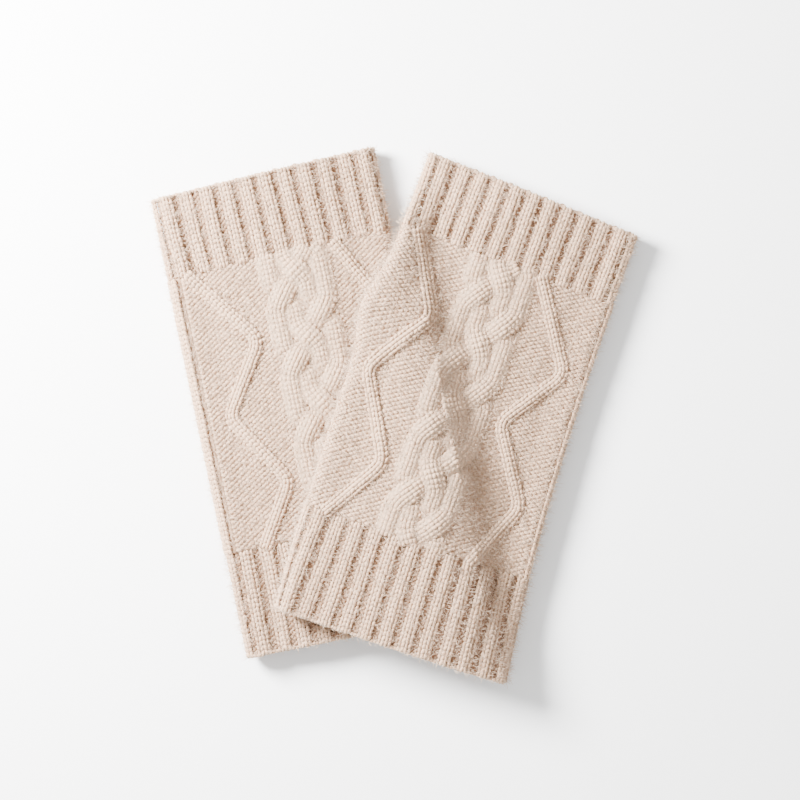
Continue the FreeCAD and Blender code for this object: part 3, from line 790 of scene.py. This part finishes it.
def ground_stitches(glove):
    """The sunk purl ground, over the back and round both folds, left out under the raised wales."""
    stitches = Stitches(glove)
    rows = courses(body_bottom(glove), body_top(glove))
    columns = np.arange(-22, 23) * PURL_WALE
    across, along = (grid.ravel() for grid in np.meshgrid(columns, rows))
    keep = np.abs(across) < flat_half(glove, along) + WRAP + 1.5
    if glove == "lower":
        keep &= (across > WELT[0] + 0.8) | (across < WELT[1] - 0.8)
    for side in ("left", "right"):
        keep &= ~near_line(across, along, *zigzag(glove, side), TRAVEL_GAP)
    for number in range(4):
        line_across, line_along, _ = strand(glove, number)
        keep &= ~near_line(across, along, line_across, line_along, STRAND_GAP)
    # The sunk ground is painted a little darker than the raised wales, as shade.
    purl_bumps(stitches, across[keep], along[keep], GROUND_LIFT, PURL_WALE, 0.72)
    return stitches.table()


def plain_stitches(glove, left, right, lift=-0.35, shade_and_tone=0.7, hole=None, wale=PURL_WALE):
    """Stocking stitch over a strip round the tube, in the body."""
    stitches = Stitches(glove)
    rows = courses(body_bottom(glove), body_top(glove))
    half = wale / 2
    for number in range(math.ceil(left / half - 0.5), math.floor(right / half - 0.5) + 1):
        place = (number + 0.5) * half
        side = 1 if number % 2 else -1
        across = np.full(len(rows), place)
        keep = np.full(len(rows), True) if hole is None else ~hole(across, rows)
        stitches.add(across[keep], rows[keep], lift, side * math.radians(20), BODY_LEG, shade_and_tone, dip=0.14)
    return stitches.table()


# ---------------------------------------------------------------- the pieces of a glove

WELT = (-41.2, -50.5)                  # the lower glove's raised edge strip, round its outer fold
EDGE_CHAIN = 44.5                      # the upper glove's fine chain of stitches, on its outer fold
THUMB_SIDE = {"lower": 1, "upper": -1}
THUMB_DROP = 64.0                      # finger edge to the middle of the thumb hole
THUMB_LENGTH = 34.0
THUMB_WIDTH = 14.0
EDGING = 2.5
SIGN = {"left": -1, "right": 1}
OPENS_FROM_PLAIT = 15.0                # from the plait to the end point that blended() works out and does not use
BACK_NAP = (1.6e6, 2.9)                # loose hairs to a square metre, and their length in mm
FOLD_NAP = (1.8e6, 3.4)
BRAID_NAP = (1.0e6, 2.0)


def thumb_middle(glove):
    """Middle of the thumb hole: round the tube, and along the glove."""
    along = HALF - THUMB_DROP
    flat = flat_half(glove, along)
    from_fold = THUMB_WIDTH / 2 + EDGING + 1.0
    return THUMB_SIDE[glove] * (flat + WRAP + from_fold), along


def in_thumb_hole(glove, extra):
    """A test for places inside the thumb hole, made wider by some extra."""
    mid_across, mid_along = thumb_middle(glove)
    reach = (THUMB_LENGTH - THUMB_WIDTH) / 2

    def inside(across, along):
        beyond = np.maximum(np.abs(along - mid_along) - reach, 0)
        return np.hypot(across - mid_across, beyond) < THUMB_WIDTH / 2 + extra
    return inside


def part_of(glove, rows):
    """Which part of the tube each stitch lies in: back left, back right, a fold or the palm."""
    across, along = rows[:, 10], rows[:, 11]
    flat = flat_half(glove, along)
    side = np.where(across < 0, "left", "right")
    reach = np.abs(across)
    name = np.where(reach < flat, "back", np.where(reach < flat + WRAP, "fold", "palm"))
    return np.char.add(np.char.add(name, "_"), np.where(name == "palm", "all", side))


def make_glove(glove):
    """All the knitted pieces of one glove."""
    rows = {}
    spans = {}
    for cuff in ("finger", "wrist"):
        rows[cuff], spans[cuff] = cuff_stitches(glove, cuff)
    spans["body"] = (body_bottom(glove), body_top(glove))
    ground = ground_stitches(glove)
    if glove == "lower":
        edge_wales = plain_stitches(glove, WELT[1], WELT[0], 0.1, 0.85, wale=2.5)
    else:
        edge_wales = plain_stitches(glove, EDGE_CHAIN - 1.3, EDGE_CHAIN + 1.3, 0.15, 0.95, wale=2.3)
    rows["body"] = np.vstack([ground, edge_wales])
    part = {zone: part_of(glove, zone_rows) for zone, zone_rows in rows.items()}
    for side in ("left", "right"):
        make_back(glove, side, rows, part, spans)
        make_fold(glove, side, rows, part)
        make_travelling_rib(glove, side)
        make_naps(glove, side)
    make_braid(glove)
    make_palm(glove, rows, part, spans)


def is_thumb_side(glove, side):
    return SIGN[side] == THUMB_SIDE[glove]


def blended(piece, glove, side):
    """Bakes a piece's placement into its mesh; a start at the fold and an end near the plait are worked
    out but not used.
    """
    sign = SIGN[side]
    start = surface(glove, sign * (flat_half(glove, 0.0) - 0.5), 0.0) * MM
    end = surface(glove, PLAIT[glove][0] + sign * OPENS_FROM_PLAIT, 0.0) * MM
    start[2] = end[2]
    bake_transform(piece)


def back_lines(glove, side):
    """The two sides of one half of the back."""
    return left_first(SIGN[side], straight_line(0.0), side_line(glove, SIGN[side]))


def make_back(glove, side, rows, part, spans):
    """One half of the back layer: its two cuffs and its panel."""
    # Low values for the bases paint shade into the gaps between the stitches.
    for zone, key, slot, outer, shade_and_tone in (("finger_cuff", "finger", "rib_knit", RIB_BASE, 0.15),
                                         ("wrist_cuff", "wrist", "rib_knit", RIB_BASE, 0.15),
                                         ("panel", "body", "ground_knit", GROUND_BASE, 0.6)):
        base = slab(glove, *back_lines(glove, side), *spans[key], outer=outer)
        piece = fabric("%s_back_%s_%s_knit" % (glove, zone, side), [base],
                       rows[key][part[key] == "back_" + side], base_shade_and_tone=shade_and_tone)
        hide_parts("%s_back_%s" % (glove, zone))
        blended(piece, glove, side)


def make_fold(glove, side, rows, part):
    """The rounded side of the tube, the glove's whole length."""
    edge = "fold_" + side
    sign = SIGN[side]
    fold_rows = np.vstack([rows[key][part[key] == edge] for key in ("finger", "wrist", "body")])
    ends = left_first(sign, side_line(glove, sign), side_line(glove, sign, 1.0))
    bases = [slab(glove, *ends, -HALF, body_bottom(glove), outer=RIB_BASE, cell=2.0),
             slab(glove, *ends, body_bottom(glove), body_top(glove), cell=2.0),
             slab(glove, *ends, body_top(glove), HALF, outer=RIB_BASE, cell=2.0)]
    thumb = is_thumb_side(glove, side)
    piece = fabric("%s_%s_fold_knit" % (glove, "thumb_side" if thumb else "outer"), bases, fold_rows,
                   base_shade_and_tone=0.45)
    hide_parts("%s_%s_fold" % (glove, "thumb_side" if thumb else "outer_side"))
    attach(piece, glove + "_palm")


def make_travelling_rib(glove, side):
    """Two raised wales that zigzag down the panel, over a rounded core."""
    line_across, line_along = zigzag(glove, side)
    rows_x, rows_y, lean = even_rows(line_across, line_along, COURSE)
    stitches = Stitches(glove)
    knit_legs(stitches, rows_x, rows_y, TRAVEL_LIFT, lean, leg=TRAVEL_LEG, shade_and_tone=0.88, fall_off=1.1)
    path = line_across[::8], line_along[::8]
    strip = core(glove, *path, np.full(len(path[0]), -0.25), 4.6, 1.7)
    rib = "%s_%s_travelling_rib" % (glove, "thumb_side" if is_thumb_side(glove, side) else "outer")
    piece = fabric(rib + "_knit", [strip], stitches.table(), 0.5)
    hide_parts(rib)
    blended(piece, glove, side)


def make_naps(glove, side):
    """The loose hairs on one half of the back and over the top of its fold."""
    sign = SIGN[side]
    nap = down("%s_back_%s_nap" % (glove, side), glove, *back_lines(glove, side), *BACK_NAP, 11 + sign)
    blended(nap, glove, side)
    brow = left_first(sign, side_line(glove, sign), side_line(glove, sign, 0.6))
    nap = down("%s_fold_%s_nap" % (glove, side), glove, *brow, *FOLD_NAP, 21 + sign)
    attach(nap, glove + "_palm")


def make_braid(glove):
    """The plait down the middle of the back: four strands that cross over each other in turn."""
    back = glove + "_back"
    cores = []
    stitches = Stitches(glove)
    legs = 6
    for number in range(4):
        line_across, line_along, lift = strand(glove, number)
        cores.append(core(glove, line_across[::8], line_along[::8], lift[::8] - 0.75,
                          STRAND_WIDTH - 0.6, 2.1))
        rows_x, rows_y, lean = even_rows(line_across, line_along, COURSE)
        height = np.interp(rows_y, line_along[::-1], lift[::-1])
        for index in range(legs):
            offset = (index - (legs - 1) / 2) * STRAND_WIDTH / legs
            edge = offset / (STRAND_WIDTH / 2)
            side = 1 if index % 2 else -1
            # Legs near a strand's sides are painted darker, as shade where the strand rounds down.
            stitches.add(rows_x + offset * np.cos(lean), rows_y - offset * np.sin(lean),
                         height + 0.1 - 1.3 * edge ** 2, lean + side * LEG_LEAN, (1.85, 2.75, 1.3),
                         0.88 - 0.12 * edge ** 4, dip=0.14, roll=0.8 * edge)
    piece = fabric("%s_cable_braid_knit" % glove, cores, stitches.table(), 0.6)
    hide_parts("%s_cable_braid" % glove)
    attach(piece, back)
    sides = [straight_line(PLAIT_LINE[glove] + sign * BRAID_HALF) for sign in (-1, 1)]
    nap = down("%s_braid_nap" % glove, glove, *sides, *BRAID_NAP, 31,
               span=(body_bottom(glove), body_top(glove)), lift=1.0)
    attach(nap, back)


def make_palm(glove, rows, part, spans):
    """The layer underneath: ribbed cuffs, a plain panel, the thumb hole's edging and the seam."""
    palm = glove + "_palm"

    def start(along):
        return flat_half(glove, along) + WRAP

    def end(along):
        return 3 * flat_half(glove, along) + WRAP

    for cuff in ("finger", "wrist"):
        base = slab(glove, start, end, *spans[cuff])
        piece = fabric("%s_palm_%s_cuff_knit" % (glove, cuff), [base],
                       rows[cuff][part[cuff] == "palm_all"], fine=False)
        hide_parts("%s_palm_%s_cuff" % (glove, cuff))
        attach(piece, palm)
    make_palm_panel(glove, spans["body"])
    make_thumb_edging(glove)
    make_seam(glove)


def make_palm_panel(glove, span):
    """The plain palm panel, in two layers that meet in the middle, with the thumb hole through it."""
    hole = in_thumb_hole(glove, 0.6)
    flat = flat_half(glove, 0.0)
    reach = 2 * flat + WRAP
    rows = np.vstack([plain_stitches(glove, flat + WRAP, reach, shade_and_tone=0.66, hole=hole),
                      plain_stitches(glove, -reach, -flat - WRAP, shade_and_tone=0.66, hole=hole)])
    bases = []
    for sign in (-1, 1):
        def far(along, sign=sign):
            return sign * half_round(glove, along)

        ends = left_first(sign, side_line(glove, sign, 1.0), far)
        bases.append(slab(glove, *ends, *span, cell=1.6, hole=in_thumb_hole(glove, 0.9)))
    piece = fabric("%s_palm_panel_knit" % glove, bases, rows, fine=False)
    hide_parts("%s_palm_panel" % glove)
    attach(piece, glove + "_palm")


def make_thumb_edging(glove):
    """The knitted rim of the thumb hole."""
    mid_across, mid_along = thumb_middle(glove)
    turn = np.linspace(0, 2 * math.pi, 200)
    bar = (THUMB_LENGTH - THUMB_WIDTH) / 2
    radius = THUMB_WIDTH / 2 + EDGING / 2
    rise = np.sin(turn)
    rim_across = mid_across + radius * np.cos(turn)
    rim_along = mid_along + radius * rise + bar * np.sign(rise) * (np.abs(rise) > 0.02)
    rows_x, rows_y, lean = even_rows(rim_across, rim_along, 1.7)
    stitches = Stitches(glove)
    knit_legs(stitches, rows_x, rows_y, -0.2, lean, shade_and_tone=0.85)
    ring = core(glove, rim_across, rim_along, np.full(len(turn), -1.2), EDGING, 2.0)
    piece = fabric("%s_thumb_hole_edging_knit" % glove, [ring], stitches.table(), 0.5)
    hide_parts("%s_thumb_hole_edging" % glove)
    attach(piece, glove + "_palm")


def make_seam(glove):
    """The linking yarn's ridge, inside the outer fold."""
    along = np.linspace(-HALF + 0.5, HALF - 0.5, 120)
    across = -THUMB_SIDE[glove] * (flat_half(glove, along) + WRAP / 2)
    ridge = core(glove, across, along, np.full(len(along), -2.6), 2.0, 1.2)
    rows_x, rows_y, lean = even_rows(across[::-1], along[::-1], 2.4)
    stitches = Stitches(glove)
    for sign in (-1, 1):
        stitches.add(rows_x + sign * 0.5, rows_y, -2.9, lean + sign * 0.9, (1.0, 2.6, 1.0), 0.75)
    piece = fabric("%s_side_seam_yarn" % glove, [ridge], stitches.table(), 0.6, fine=False)
    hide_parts("%s_side_seam" % glove)
    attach(piece, glove + "_palm")


make_glove("lower")
make_glove("upper")


# ---------------------------------------------------------------- floor, light and camera

def plain_material(name, colour, roughness):
    material = bpy.data.materials.new(name)
    material.use_nodes = True
    shader = material.node_tree.nodes["Principled BSDF"]
    shader.inputs["Base Color"].default_value = (*colour, 1)
    shader.inputs["Roughness"].default_value = roughness
    return material


def make_floor():
    size = 3.0
    mesh = new_mesh("floor", [(-size, -size, -0.0002), (size, -size, -0.0002), (size, size, -0.0002),
                              (-size, size, -0.0002)], [(0, 1, 2, 3)])
    floor = bpy.data.objects.new("floor", mesh)
    bpy.context.scene.collection.objects.link(floor)
    mesh.materials.append(plain_material("white_table", (0.84, 0.895, 0.965), 0.85))


def area_light(name, place, target, size, power):
    light = bpy.data.lights.new(name, "AREA")
    light.shape = "DISK"
    light.size = size
    light.energy = power
    light.color = (1.0, 0.94, 0.87)
    lamp = bpy.data.objects.new(name, light)
    lamp.location = place
    lamp.rotation_euler = (Vector(target) - Vector(place)).to_track_quat("-Z", "Y").to_euler()
    bpy.context.scene.collection.objects.link(lamp)


def make_light():
    world = bpy.data.worlds.new("studio")
    world.use_nodes = True
    world.node_tree.nodes["Background"].inputs["Color"].default_value = (1.0, 0.94, 0.87, 1)
    world.node_tree.nodes["Background"].inputs["Strength"].default_value = 1.6
    bpy.context.scene.world = world
    area_light("window", (-0.44, 0.25, 0.36), (0, 0, 0), 0.26, 48)


def make_camera():
    """Straight overhead, with the pair a little below the middle of the view."""
    camera = bpy.data.cameras.new("overhead")
    camera.lens = 100
    camera.sensor_width = 36
    seen = 0.3115
    stand = bpy.data.objects.new("overhead", camera)
    stand.location = (0.001, 0.0062, 0.010 + seen * camera.lens / camera.sensor_width)
    stand.rotation_euler = (0, 0, 0)
    bpy.context.scene.collection.objects.link(stand)
    bpy.context.scene.camera = stand


make_floor()
make_light()
make_camera()
